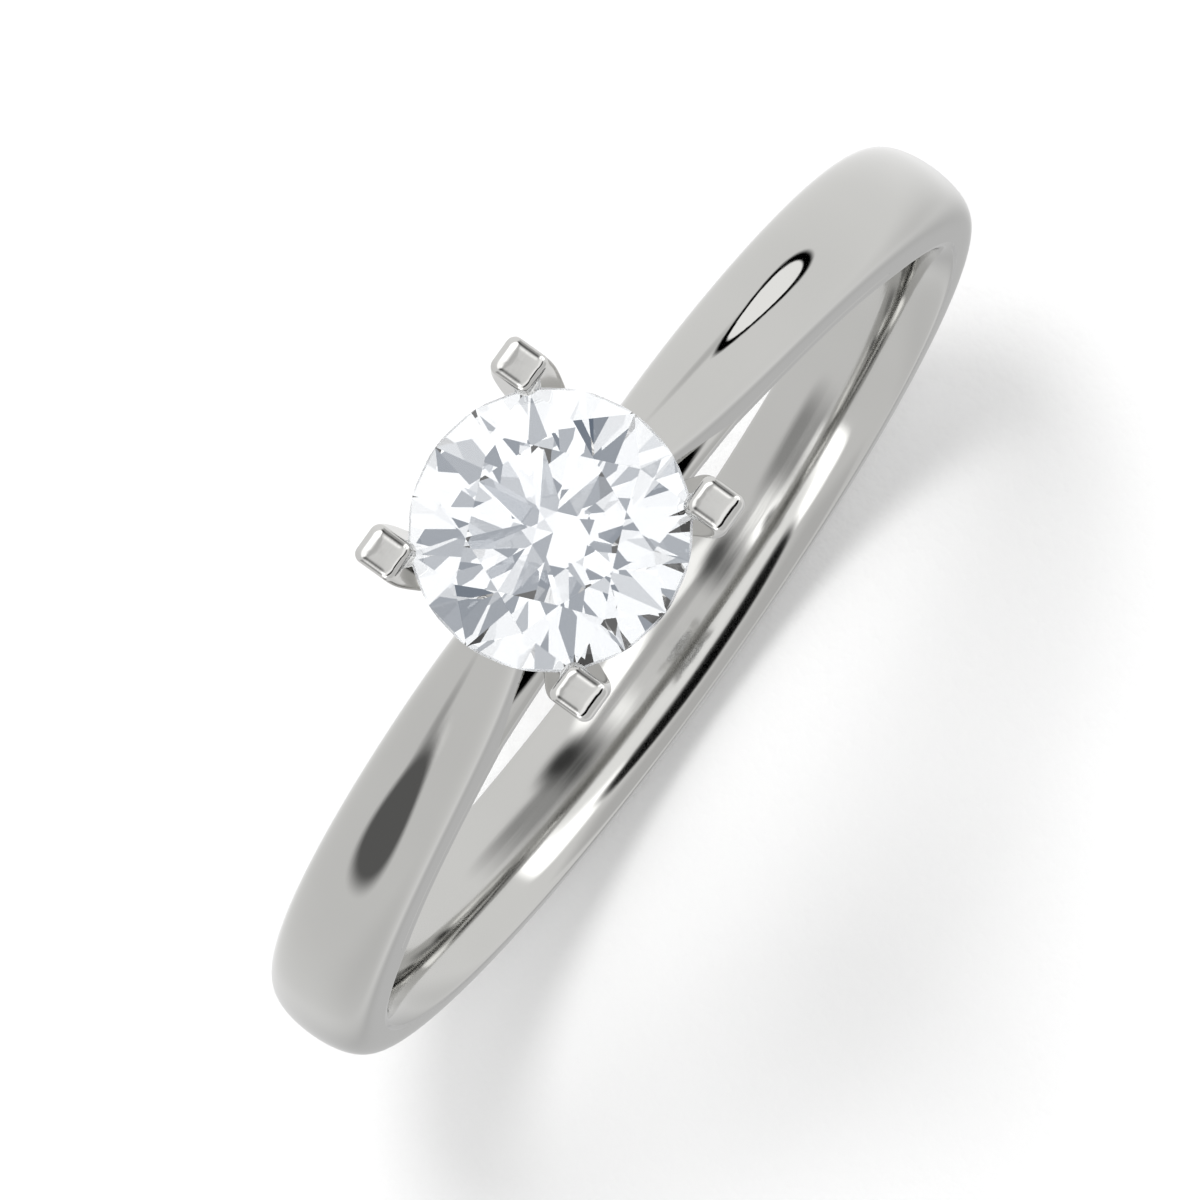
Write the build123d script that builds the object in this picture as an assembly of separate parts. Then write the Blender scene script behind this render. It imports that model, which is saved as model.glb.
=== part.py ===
"""Four-claw solitaire ring with cathedral shoulders, one STEP file for each piece.

Frame, in millimetres: the origin is the centre of the finger hole, Y is the finger's axis,
Z points up through the stone and X runs along the band where it passes under the stone.
An angle round the band starts at +Z, under the stone, and grows towards +X.
"""
import os
from math import cos, hypot, radians, sin, tan

from build123d import *

# Finger hole and band.
FINGER_RADIUS = 8.25
RAIL_THICKNESS = 0.60
RAIL_HALF_WIDTH = 0.86
RAIL_CROWN = 0.14
SHANK_END_ANGLE = 60.0
BAND_HALF_WIDTH_SIDE = 1.08
BAND_HALF_WIDTH_BASE = 1.075
BAND_THICKNESS_SIDE = 1.395
BAND_THICKNESS_BASE = 1.135
DOME_HEIGHT_SIDE = 0.90
DOME_HEIGHT_HEAD = 1.18
DOME_POWER = 0.50

# Rounding on the finger side: slight under the head, and round the shank so deep that only a low
# wall is left beside it and so wide that it takes most of each half of the band.
COMFORT_RADIUS = 0.15
WALL_HEIGHT = 0.02
ROUNDED_SHARE = 0.70

# Between the side and the head each change grows with a power of the share of the way there.
HEAD_ANGLE = 10.0
TAPER, TAPER_POWER = 0.342, 2.4
PINCH, PINCH_POWER = 0.173, 12
SWELL, SWELL_POWER = 0.70, 2
LIFT, LIFT_POWER = 1.20, 8

# Underside of a cathedral shoulder: a straight rise from just inside the rail to the head.
ARCH_START = (3.79, 7.66)
ARCH_END = (1.60, 10.99)

# Round brilliant stone.
STONE_RADIUS = 2.53
GIRDLE_Z = 12.72
GIRDLE_HALF = 0.035
TABLE_RATIO = 0.57
CROWN_ANGLE = 34.5
PAVILION_ANGLE = 40.8
STAR_RATIO = 0.50
LOWER_HALF_RATIO = 0.78

# Claws: rectangular legs that lean outwards and stand upright beside the stone. Each section is
# its height, the x and y of its corner nearest the ring's middle and those of its outer corner.
CLAW_SECTIONS = (
    (8.60, (0.770, 0.075), (1.610, 0.835)),
    (11.60, (1.375, 1.193), (2.162, 2.050)),
    (12.65, (1.590, 1.590), (2.430, 2.565)),
    (13.08, (1.674, 1.745), (2.443, 2.580)),
)
CLAW_EDGE_RADIUS = 0.18
CLAW_RIM_RADIUS = 0.16

# Round gallery wire that ties the claws and takes the shoulders, and the base bar on the rail.
GALLERY_OUTER_RADIUS = 1.86
GALLERY_INNER_RADIUS = 1.34
GALLERY_Z = (10.85, 11.40)
GALLERY_EDGE_RADIUS = 0.08
BASE_SIZE = (1.90, 1.00)
BASE_TOP_Z = 9.45
BASE_EDGE_RADIUS = 0.10

RAIL_RADIUS = FINGER_RADIUS + RAIL_THICKNESS
INSIDE_FINGER = FINGER_RADIUS - 1.0
FAR = 40.0
FACETS = 8
FACET_STEP = 360 / FACETS

# Sections that the band is lofted through, and the points along each curve of a section.
LOFT_ANGLES = (8, 11, 14, 18, 23, 29, 36, 44, 52, 60, 68, 76, 84, 90, 105, 120, 140, 160, 180)
DOME_STEPS = 6
EASE_STEPS = 4

# Overlaps that give every cut clean material to work on.
SEAM_OVERLAP = 10.0
LAND_OVERLAP = 0.01
DRUM_OVERLAP = 0.20
ON_SURFACE = 0.01


def share_to_base(angle):
    """Rises smoothly from 0 at the band's side to 1 at its base."""
    return (1 - cos(radians(2 * (angle - 90)))) / 2


def share_to_head(angle):
    """Rises evenly from 0 at the band's side to 1 beside the head."""
    return (90 - angle) / (90 - HEAD_ANGLE)


def band_half_width(angle):
    """Half the band's width: widest at the sides, a little less at the base, pinched at the head."""
    if angle > 90:
        change = BAND_HALF_WIDTH_BASE - BAND_HALF_WIDTH_SIDE
        return BAND_HALF_WIDTH_SIDE + change * share_to_base(angle)
    share = share_to_head(angle)
    return BAND_HALF_WIDTH_SIDE - TAPER * share**TAPER_POWER - PINCH * share**PINCH_POWER


def band_thickness(angle):
    """Height of the band's crest above the finger hole, which climbs steeply beside the head."""
    if angle > 90:
        change = BAND_THICKNESS_BASE - BAND_THICKNESS_SIDE
        return BAND_THICKNESS_SIDE + change * share_to_base(angle)
    share = share_to_head(angle)
    return BAND_THICKNESS_SIDE + SWELL * share**SWELL_POWER + LIFT * share**LIFT_POWER


def dome_height(angle):
    """Height of the dome above its straight side walls, which grows with the shoulder's swell."""
    share = share_to_head(min(angle, 90))
    return DOME_HEIGHT_SIDE + (DOME_HEIGHT_HEAD - DOME_HEIGHT_SIDE) * share**SWELL_POWER


def radial_plane(angle):
    """Plane through the finger axis: its x runs along the axis and its y outwards."""
    turn = radians(angle)
    return Plane(origin=(0, 0, 0), x_dir=(0, 1, 0), z_dir=(cos(turn), 0, -sin(turn)))


def rail_half_width(angle):
    """Half the finger rail's width, which joins the band's where the shoulder lifts off."""
    return max(RAIL_HALF_WIDTH, band_half_width(abs(angle)))


def fold(angle):
    """The same place on the right half of the band, which mirrors its left half."""
    return min(angle, 360 - angle)


def dome_curve(angle):
    """Full dome of a section, from the top of the -Y wall to the top of the +Y wall."""
    half = band_half_width(angle)
    height = dome_height(angle)
    spring = FINGER_RADIUS + band_thickness(angle) - height
    points = []
    for step in range(-DOME_STEPS, DOME_STEPS + 1):
        turn = radians(90 * step / DOME_STEPS)
        rise = max(cos(turn), 0) ** DOME_POWER
        points.append((half * sin(turn), spring + height * rise))
    return Spline(points, tangents=[(0, 1), (0, -1)])


def finger_ease(angle):
    """Depth and reach of the finger side's rounding, which grow from the seam to the band's side."""
    share = min(max((angle - SHANK_END_ANGLE) / (90 - SHANK_END_ANGLE), 0), 1)
    share = share**2 * (3 - 2 * share)
    deepest = band_thickness(angle) - dome_height(angle) - WALL_HEIGHT
    widest = ROUNDED_SHARE * band_half_width(angle)
    depth = COMFORT_RADIUS + (deepest - COMFORT_RADIUS) * share
    reach = COMFORT_RADIUS + (widest - COMFORT_RADIUS) * share
    return depth, reach


def finger_curve(angle, side):
    """Quarter ellipse from the foot of one wall, at side 1 or -1, down to the finger hole."""
    half = band_half_width(angle)
    depth, reach = finger_ease(angle)
    points = []
    for step in range(EASE_STEPS + 1):
        turn = radians(90 * step / EASE_STEPS)
        across = half - reach + reach * cos(turn)
        fall = (depth + LAND_OVERLAP) * sin(turn)
        points.append((side * across, FINGER_RADIUS + depth - fall))
    return Spline(points, tangents=[(0, -1), (-side, 0)])


def shank_section(angle):
    """Dome, low walls, rounded finger side and the flat land that the finger hole trims."""
    folded = fold(angle)
    dome = dome_curve(folded)
    right = finger_curve(folded, 1)
    left = finger_curve(folded, -1)
    outline = dome + Line(dome @ 1, right @ 0) + right + Line(right @ 1, left @ 1)
    outline += left + Line(left @ 0, dome @ 0)
    return radial_plane(angle) * make_face(outline)


def shoulder_section(angle):
    """Straight side walls under a full dome, from inside the finger hole to the crest."""
    dome = dome_curve(angle)
    half = band_half_width(angle)
    low_left = (-half, INSIDE_FINGER)
    low_right = (half, INSIDE_FINGER)
    walls = Polyline(dome @ 0, low_left, low_right, dome @ 1)
    return radial_plane(angle) * make_face(dome + walls)


def rail_section(angle):
    """Plain rectangle as wide as the rail, from inside the finger hole to well above the rail."""
    height = 2 * (FINGER_RADIUS - INSIDE_FINGER)
    rectangle = Rectangle(2 * rail_half_width(angle), height)
    return radial_plane(angle) * (Pos(0, FINGER_RADIUS) * rectangle)


def sector(start, end):
    """Wedge round the finger axis between two angles less than 180 degrees apart."""
    middle = (start + end) / 2
    corners = [(0, 0)]
    for angle in (start, middle, end):
        corners.append((FAR * sin(radians(angle)), FAR * cos(radians(angle))))
    face = make_face(Polyline(*corners, close=True))
    return extrude(Plane.XZ * face, FAR / 2, both=True)


def finger_cylinder(radius):
    """Solid cylinder along the finger axis."""
    return Rot(90, 0, 0) * Cylinder(radius, FAR)


def rail_drum():
    """Solid of revolution on the finger axis whose crowned rim is the top of the finger rail."""
    reach = BAND_HALF_WIDTH_SIDE + DRUM_OVERLAP
    crown_radius = (RAIL_HALF_WIDTH**2 + RAIL_CROWN**2) / (2 * RAIL_CROWN)
    rim = RAIL_RADIUS - crown_radius + (crown_radius**2 - reach**2) ** 0.5
    outline = ThreePointArc((rim, -reach), (RAIL_RADIUS, 0), (rim, reach))
    outline += Polyline((rim, reach), (0, reach), (0, -reach), (rim, -reach))
    return revolve(make_face(outline), Axis.Y)


def build_shank():
    """Lower band, from one shoulder seam round to the other."""
    right = [angle for angle in LOFT_ANGLES if angle >= SHANK_END_ANGLE]
    left = [360 - angle for angle in reversed(right[:-1])]
    band = loft([shank_section(angle) for angle in [*right, *left]])
    return band - finger_cylinder(FINGER_RADIUS)


def upper_angles():
    """Loft angles from beside the head to a little past the seam."""
    return [angle for angle in LOFT_ANGLES if angle <= SHANK_END_ANGLE + SEAM_OVERLAP]


def ease_finger_edges(piece):
    """Rounds the long edges where the finger hole meets the side walls."""
    edges = []
    for edge in piece.edges():
        middle = edge @ 0.5
        on_hole = abs(hypot(middle.X, middle.Z) - FINGER_RADIUS) < ON_SURFACE
        if on_hole and edge.length > FINGER_RADIUS and abs(middle.Y) > RAIL_HALF_WIDTH / 2:
            edges.append(edge)
    return fillet(edges, COMFORT_RADIUS)


def build_finger_rail(drum):
    """Thin crowned bridge between the shank's ends, under the shoulders and the head."""
    left_angles = [-angle for angle in reversed(upper_angles())]
    strip = loft([rail_section(angle) for angle in [*left_angles, *upper_angles()]])
    rail = strip & sector(-SHANK_END_ANGLE, SHANK_END_ANGLE)
    rail = rail & drum - finger_cylinder(FINGER_RADIUS)
    return ease_finger_edges(rail)


def build_arch_cutter():
    """Wedge that clears everything below the right shoulder's straight underside."""
    outline = Polyline(ARCH_START, ARCH_END, (0, ARCH_END[1]), (0, 0), close=True)
    return extrude(Plane.XZ * make_face(outline), FAR / 2, both=True)


def build_shoulder(drum):
    """Right cathedral shoulder, from the shank's end to the gallery ring."""
    skin = loft([shoulder_section(angle) for angle in upper_angles()])
    ring_hole = Pos(0, 0, GIRDLE_Z) * Cylinder(GALLERY_OUTER_RADIUS, FAR / 2)
    shoulder = skin & sector(0, SHANK_END_ANGLE)
    return shoulder - drum - build_arch_cutter() - ring_hole


def facet_plane(first, second, third):
    """Plane through three points, facing away from the stone's middle."""
    first, second, third = Vector(first), Vector(second), Vector(third)
    normal = (second - first).cross(third - first).normalized()
    if normal.dot(first) < 0:
        normal = -normal
    return Plane(origin=first, z_dir=normal)


def polar(radius, angle, height):
    """Point at a radius, an angle in degrees and a height about the stone's axis."""
    return (radius * cos(radians(angle)), radius * sin(radians(angle)), height)


def brilliant_planes():
    """Facet planes of a round brilliant whose girdle lies at height zero."""
    half_step = FACET_STEP / 2
    crown_rise = tan(radians(CROWN_ANGLE))
    pavilion_fall = tan(radians(PAVILION_ANGLE))
    table_radius = TABLE_RATIO * STONE_RADIUS
    table_height = GIRDLE_HALF + (STONE_RADIUS - table_radius) * crown_rise
    edge_middle = table_radius * cos(radians(half_step))
    star_radius = edge_middle + STAR_RATIO * (STONE_RADIUS - edge_middle)
    star_height = GIRDLE_HALF + (STONE_RADIUS - star_radius * cos(radians(half_step))) * crown_rise
    lower_radius = STONE_RADIUS * (1 - LOWER_HALF_RATIO)
    lower_reach = STONE_RADIUS - lower_radius * cos(radians(half_step))
    lower_height = -GIRDLE_HALF - lower_reach * pavilion_fall
    planes = [Plane(origin=(0, 0, table_height), z_dir=(0, 0, 1))]
    for facet in range(FACETS):
        angle = FACET_STEP * facet
        beside = angle + half_step
        following = angle + 2 * half_step
        crown_rim = polar(STONE_RADIUS, angle, GIRDLE_HALF)
        pavilion_rim = polar(STONE_RADIUS, angle, -GIRDLE_HALF)
        outward = (cos(radians(angle)), sin(radians(angle)))
        crown_normal = (outward[0] * crown_rise, outward[1] * crown_rise, 1)
        pavilion_normal = (outward[0] * pavilion_fall, outward[1] * pavilion_fall, -1)
        star_tip = polar(star_radius, beside, star_height)
        lower_tip = polar(lower_radius, beside, lower_height)
        table_corners = [polar(table_radius, at, table_height) for at in (angle, following)]
        planes.append(Plane(origin=crown_rim, z_dir=crown_normal))
        planes.append(Plane(origin=pavilion_rim, z_dir=pavilion_normal))
        planes.append(facet_plane(*table_corners, star_tip))
        for side in (angle, following):
            crown_pair = [polar(STONE_RADIUS, at, GIRDLE_HALF) for at in (side, beside)]
            pavilion_pair = [polar(STONE_RADIUS, at, -GIRDLE_HALF) for at in (side, beside)]
            planes.append(facet_plane(*crown_pair, star_tip))
            planes.append(facet_plane(*pavilion_pair, lower_tip))
    return planes


def build_stone():
    """Round brilliant: a tall cylinder with every facet cut from it, set at the girdle's height."""
    stone = Cylinder(STONE_RADIUS, FAR)
    for plane in brilliant_planes():
        stone = split(stone, bisect_by=plane, keep=Keep.BOTTOM)
    return Pos(0, 0, GIRDLE_Z) * stone


def build_claw_blank():
    """Front right claw before it is notched: a leaning leg with an upright, eased tip."""
    sections = []
    for height, inner, outer in CLAW_SECTIONS:
        width = outer[0] - inner[0]
        depth = outer[1] - inner[1]
        middle = Pos((inner[0] + outer[0]) / 2, -(inner[1] + outer[1]) / 2, height)
        sections.append(middle * RectangleRounded(width, depth, CLAW_EDGE_RADIUS))
    leg = loft(sections)
    return fillet(leg.edges().group_by(Axis.Z)[-1], CLAW_RIM_RADIUS)


def build_gallery_ring():
    """Round wire with eased edges that ties the four claws below the stone."""
    low, high = GALLERY_Z
    ring = Cylinder(GALLERY_OUTER_RADIUS, high - low) - Cylinder(GALLERY_INNER_RADIUS, high - low)
    ring = fillet(ring.edges().filter_by(GeomType.CIRCLE), GALLERY_EDGE_RADIUS)
    return Pos(0, 0, (low + high) / 2) * ring


def build_head_base():
    """Cross bar that stands on the rail between the claw feet."""
    height = BASE_TOP_Z - INSIDE_FINGER
    bar = Box(*BASE_SIZE, height)
    bar = fillet(bar.edges().group_by(Axis.Z)[-1], BASE_EDGE_RADIUS)
    return Pos(0, 0, BASE_TOP_Z - height / 2) * bar


def mirrored_copies(piece):
    """The four copies of a front right piece, by name."""
    left = mirror(piece, about=Plane.YZ)
    return {
        "front_right": piece,
        "front_left": left,
        "back_right": mirror(piece, about=Plane.XZ),
        "back_left": mirror(left, about=Plane.XZ),
    }


def build_parts():
    """Every piece of the ring by node name."""
    drum = rail_drum()
    stone = build_stone()
    gallery = build_gallery_ring()
    blank = build_claw_blank()
    claw = blank - drum - stone - gallery
    shoulder = build_shoulder(drum)
    base = build_head_base()
    for foot in mirrored_copies(blank).values():
        base -= foot
    parts = {
        "shank": build_shank(),
        "finger_rail": build_finger_rail(drum),
        "shoulder_right": shoulder,
        "shoulder_left": mirror(shoulder, about=Plane.YZ),
        "gallery_ring": gallery,
        "head_base": base - drum,
        "stone": stone,
    }
    for place, piece in mirrored_copies(claw).items():
        parts["claw_" + place] = piece
    return parts


if __name__ == "__main__":
    os.makedirs("parts", exist_ok=True)
    for name, piece in build_parts().items():
        export_step(piece, f"parts/{name}.step")
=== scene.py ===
"""Looks of the four-claw solitaire ring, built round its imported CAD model, in metres."""

import math

import bmesh
import bpy
import numpy as np
from mathutils import Matrix, Vector


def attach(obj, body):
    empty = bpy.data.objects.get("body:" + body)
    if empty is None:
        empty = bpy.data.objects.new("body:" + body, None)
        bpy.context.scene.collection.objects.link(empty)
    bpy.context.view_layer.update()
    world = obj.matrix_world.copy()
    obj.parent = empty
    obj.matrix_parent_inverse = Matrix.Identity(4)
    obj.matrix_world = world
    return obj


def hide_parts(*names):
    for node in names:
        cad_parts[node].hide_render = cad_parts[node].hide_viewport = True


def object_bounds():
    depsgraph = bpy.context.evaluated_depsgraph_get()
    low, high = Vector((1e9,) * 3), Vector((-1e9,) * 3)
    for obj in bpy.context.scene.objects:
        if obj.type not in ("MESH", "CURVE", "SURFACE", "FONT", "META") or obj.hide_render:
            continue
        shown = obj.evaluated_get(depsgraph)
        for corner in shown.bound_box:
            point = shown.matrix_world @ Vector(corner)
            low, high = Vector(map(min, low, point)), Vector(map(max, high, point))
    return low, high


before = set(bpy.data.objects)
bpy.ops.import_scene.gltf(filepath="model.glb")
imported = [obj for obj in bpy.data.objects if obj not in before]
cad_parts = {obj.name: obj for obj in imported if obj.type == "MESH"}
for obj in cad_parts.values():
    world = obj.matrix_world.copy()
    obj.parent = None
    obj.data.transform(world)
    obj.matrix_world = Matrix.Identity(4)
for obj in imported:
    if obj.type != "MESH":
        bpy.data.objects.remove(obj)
cad_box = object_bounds()
MM = 0.001

# ---------------------------------------------------------------- dimensions of the ring
# In millimetres and degrees, as the CAD model has them. Angles round the band start at the stone.

FINGER_RADIUS = 8.25
RAIL_RADIUS = 8.85
RAIL_HALF_WIDTH = 0.86
RAIL_CROWN = 0.14
COMFORT_RADIUS = 0.15
HEAD_ANGLE = 10.0
SEAM_ANGLE = 60.0
FULL_EASE_ANGLE = 90.0
ROUNDED_SHARE = 0.90
BAND_HALF_WIDTH_SIDE = 1.08
BAND_HALF_WIDTH_BASE = 1.075
BAND_THICKNESS_SIDE = 1.395
BAND_THICKNESS_BASE = 1.135
DOME_HEIGHT_SIDE = 0.90
DOME_HEIGHT_HEAD = 1.18
TAPER, TAPER_POWER = 0.342, 2.4
PINCH, PINCH_POWER = 0.173, 12
SWELL, SWELL_POWER = 0.70, 2
LIFT, LIFT_POWER = 1.20, 8
ARCH_START = (3.79, 7.66)
ARCH_END = (1.60, 10.99)
ARCH_LIMIT_ANGLE = 40.0
STONE_RADIUS = 2.53
GIRDLE_Z = 12.72
GIRDLE_HALF = 0.035
TABLE_RATIO = 0.57
CROWN_ANGLE = 34.5
PAVILION_ANGLE = 40.8
STAR_RATIO = 0.50
LOWER_HALF_RATIO = 0.78
STONE_FOLD = 8
SEAT_SCALE = 1.004

# Height of each claw section, then its inner and its outer corner.
CLAW_SECTIONS = (
    (8.60, (0.770, 0.075), (1.610, 0.835)),
    (11.60, (1.375, 1.193), (2.162, 2.050)),
    (12.65, (1.590, 1.590), (2.430, 2.565)),
    (13.08, (1.674, 1.745), (2.443, 2.580)),
)
CLAW_PLACES = (("front_left", -1, -1), ("front_right", 1, -1), ("back_left", -1, 1), ("back_right", 1, 1))
CLAW_EDGE_RADIUS = 0.18
CLAW_RIM_HEIGHT = 0.16
CLAW_RIM_POWER = 3.2
CLAW_STONE_SIDE_POWER = 9.0
GALLERY_RADII = (1.34, 1.86)
GALLERY_Z = (10.85, 11.40)
GALLERY_EDGE_RADIUS = 0.08
BASE_SIZE = (1.90, 1.00)
BASE_Z = (8.60, 9.45)
BASE_EDGE_RADIUS = 0.10
RAIL_EDGE_RADIUS = 0.035
DRUM_HALF_WIDTH = 1.3

# ---------------------------------------------------------------- how fine the meshes are
# Steps round the band and the drum, and the least angle of a crisp edge, in degrees.

BAND_STEP = 1.0
DRUM_STEP = 2
CRISP_ANGLE = 32

# Counts of rows, points, loops and steps.
SHOULDER_ROWS = 90
UNDERSIDE_POINTS = 13
WALL_STEPS = 8
DOME_POINTS = 97
DOME_SAMPLES = 4001
FINGER_EASE_STEPS = 16
LAND_HALF_STEPS = 4
RAIL_WALL_POINTS = 5
RAIL_TOP_POINTS = 25
EDGE_STEPS = 6
CLAW_LOOPS = 70
CLAW_CORNER_STEPS = 10
CLAW_SIDE_STEPS = 8
CLAW_RIM_LOOPS = 28
DRUM_RINGS = 27
GALLERY_TURNS = 144
GIRDLE_POINTS = 192

# The dome's height over its half width, for spacing its points only, and two sizes near zero.
DOME_SPACING_HEIGHT = 0.85
CUT_TOLERANCE = 1e-6
LEAST_LENGTH = 1e-12

# ---------------------------------------------------------------- camera, floor and light
# The camera has a long lens, looks down on the stone a little from the front, and is rolled.

CAMERA_AIM = Vector((-0.22, 0.35, 0.04)) * MM
CAMERA_AZIMUTH = -8.76
CAMERA_ELEVATION = 81.84
CAMERA_ROLL = -45.49
CAMERA_DISTANCE = 0.540
CAMERA_LENS = 896
CAMERA_SENSOR = 36
CAMERA_CLIP = (0.01, 10)

KEY_AZIMUTH = 65
KEY_ELEVATION = 72
KEY_DISTANCE = 0.5
KEY_SIZE = 0.14
KEY_POWER = 0.88

FLOOR_HALF_SIZE = 1.0
FLOOR_SHADE = (0.815, 0.815, 0.815)
FLOOR_TINT = (0.83, 0.83, 0.83)
FLOOR_SPECULAR = 0.2
FLOOR_ROUGHNESS = (0.85, 0.95)
FLOOR_MOTTLE = 60
FLOOR_GRAIN = 4000
FLOOR_GRAIN_DEPTH = 0.00001

LIGHT_BOUNCES = 24
MIRROR_BOUNCES = 4

# ---------------------------------------------------------------- surfaces
# Scales of noise are per metre, depths are in metres and radii in millimetres. The edge and the
# depth of the grinding are shares of the girdle's half height and of the stone's radius.

# The band and the head are the same white metal. The band's darker tint is painted shade and the head's
# lighter tint is painted light, each set to match how bright that part looks.
BAND_TINT_PAINTED_SHADE = (0.535, 0.532, 0.517)
HEAD_TINT_PAINTED_LIGHT = (0.61, 0.606, 0.592)
BAND_ROUGHNESS = 0.015
HEAD_ROUGHNESS = 0.07
INSIDE_ROUGHNESS = 0.075
INSIDE_RADIUS = 8.40
OUTSIDE_RADIUS = 8.62
HAIR_SCALE = 1.0
HAIR_DETAIL = 3.0
HAIR_ALONG = 1500
HAIR_ACROSS = 26000
HAIR_DEPTH = 0.00000008
HAIR_ROUGHNESS = 0.008
HANDLING_SCALE = 380
HANDLING_ROUGHNESS = 0.02
WORN_START = 0.56
WORN_FULL = 0.64
WORN_ROUGHNESS = 0.03
TINT_CHANGE = 0.5
TINT_SHADE = 0.94
STONE_IOR = 2.417
STONE_CLEAR = (1.0, 1.0, 1.0)
STONE_TINT = (0.975, 0.985, 1.0)
GROWTH_SCALE = 500
GRINDING_EDGE = 1.15
GRINDING_DEPTH = 0.99
GRINDING_SCALE = 20000
GRINDING_GRAIN = (0.5, 1.0)
GRINDING_ROUGHNESS = 0.45

# The part of a noise's range that is stretched to its full range.
NOISE_MIDDLE = (0.3, 0.7)

# ---------------------------------------------------------------- surroundings
# Panels round the ring, as the polish mirrors them: azimuth, elevation, half width and half height
# in degrees, lean in degrees, corner power, edge softness and brightness.

STUDIO_PANELS = (
    ("front_wall", -92, 32, 48, 29, 0, 4, 0.30, 0.76),
    ("ground_left", -148, -42, 22, 22, 0, 2, 0.60, 0.84),
    ("ground_right", -32, -58, 18, 20, 0, 2, 0.60, 0.88),
    ("ground", -115, -82, 22, 16, 0, 2, 0.60, 0.60),
    ("right_panel", -9, 37, 12, 21, 0, 5, 0.16, 2.6),
    ("left_panel", -175, 38, 12, 21, 0, 5, 0.16, 2.6),
    ("top_panel", -90, 83, 60, 6, 0, 4, 0.35, 1.35),
    ("back_panel_right", 60, 64, 18, 10, 0, 4, 0.30, 2.3),
    ("back_panel_left", 118, 64, 16, 9, 0, 4, 0.30, 1.7),
    ("back_bar", 90, 77.8, 40, 2.8, 0, 4, 0.30, 0.66),
    ("right_strip", 11, 36, 4, 24, 0, 3, 0.60, 0.45),
    ("back_card_right", 19, 47, 6, 9, 8, 2, 0.65, 0.05),
    ("back_card_left", 153, 63, 5, 7, 0, 2, 0.70, 0.12),
    ("left_strip", 168, 27, 5, 16, 0, 3, 0.60, 0.42),
    ("front_bar", -90, 71.7, 43, 6.6, -3, 2.6, 0.20, 0.0),
)

# The level between the panels changes from left to right where a direction's x is within this.
STUDIO_LEVEL_LEFT = 0.93
STUDIO_LEVEL_RIGHT = 1.08
STUDIO_LEVEL_CHANGE = 0.7
CAMERA_SKY = 1.0
WORLD_SAMPLES = 256
LEAST_FACING = 0.01

# Slate patches in the pale sky that the stone's own rays find, in the same terms up to softness.
STONE_PATCHES = (
    ("overhead", 170, 86, 18, 16, 0, 3, 0.30),
    ("front_middle", -92, 43, 22, 9, 0, 3, 0.25),
    ("right_middle", 8, 46, 12, 9, 0, 3, 0.25),
    ("front_low", -115, 20, 14, 8, 0, 3, 0.30),
    ("right_low", 20, 20, 12, 9, 0, 3, 0.30),
    ("back_low", 78, 28, 10, 7, 0, 3, 0.30),
    ("left_low", 172, 24, 13, 8, 0, 3, 0.30),
    ("left_high", -142, 56, 8, 7, 0, 3, 0.30),
    ("corner", 135, 12, 13, 11, 0, 3, 0.30),
)
STONE_SKY = (1.25, 1.27, 1.29)
STONE_SLATE = (0.015, 0.055, 0.115)
SLATE_SCALE = 2.5
SLATE_LOW = 0.55
SLATE_HIGH = 1.0

# Cards beside the shoulders: name, place and half sizes of the disc in millimetres, reach of the
# frame as a share of the disc's, level, frame's level and softness of the frame's outer edge.
SIDE_CARDS = (
    ("right_card", (10.0, 0.32, 8.66), (0.78, 1.56), 1.28, 1.4, 0.0, 0.09),
    ("left_card", (-11.0, 0.28, 8.87), (1.80, 2.42), 1.04, 0.16, 0.16, 0.22),
)
CARD_HALF = 4.0
CARD_BLUR = 0.04


# ---------------------------------------------------------------- mesh helpers


def add_object(data, name):
    """Links a mesh, camera or light into the scene as an object."""
    piece = bpy.data.objects.new(name, data)
    bpy.context.scene.collection.objects.link(piece)
    return piece


def new_mesh(work, name):
    """Turns a finished bmesh into a mesh."""
    mesh = bpy.data.meshes.new(name)
    work.to_mesh(mesh)
    work.free()
    return mesh


def closed_mesh(rings, name):
    """Mesh in metres through rings of points in millimetres, with flat ends."""
    work = bmesh.new()
    rings = [[work.verts.new(Vector(point) * MM) for point in ring] for ring in rings]
    count = len(rings[0])
    for low, high in zip(rings, rings[1:]):
        for index in range(count):
            following = (index + 1) % count
            work.faces.new((low[index], low[following], high[following], high[index]))
    work.faces.new(list(reversed(rings[0])))
    work.faces.new(rings[-1])
    bmesh.ops.recalc_face_normals(work, faces=work.faces)
    return new_mesh(work, name)


def shade_by_angle(piece):
    """Smooth shading that keeps sharp edges crisp."""
    piece.data.shade_smooth()
    piece.data.set_sharp_from_angle(angle=math.radians(CRISP_ANGLE))


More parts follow.
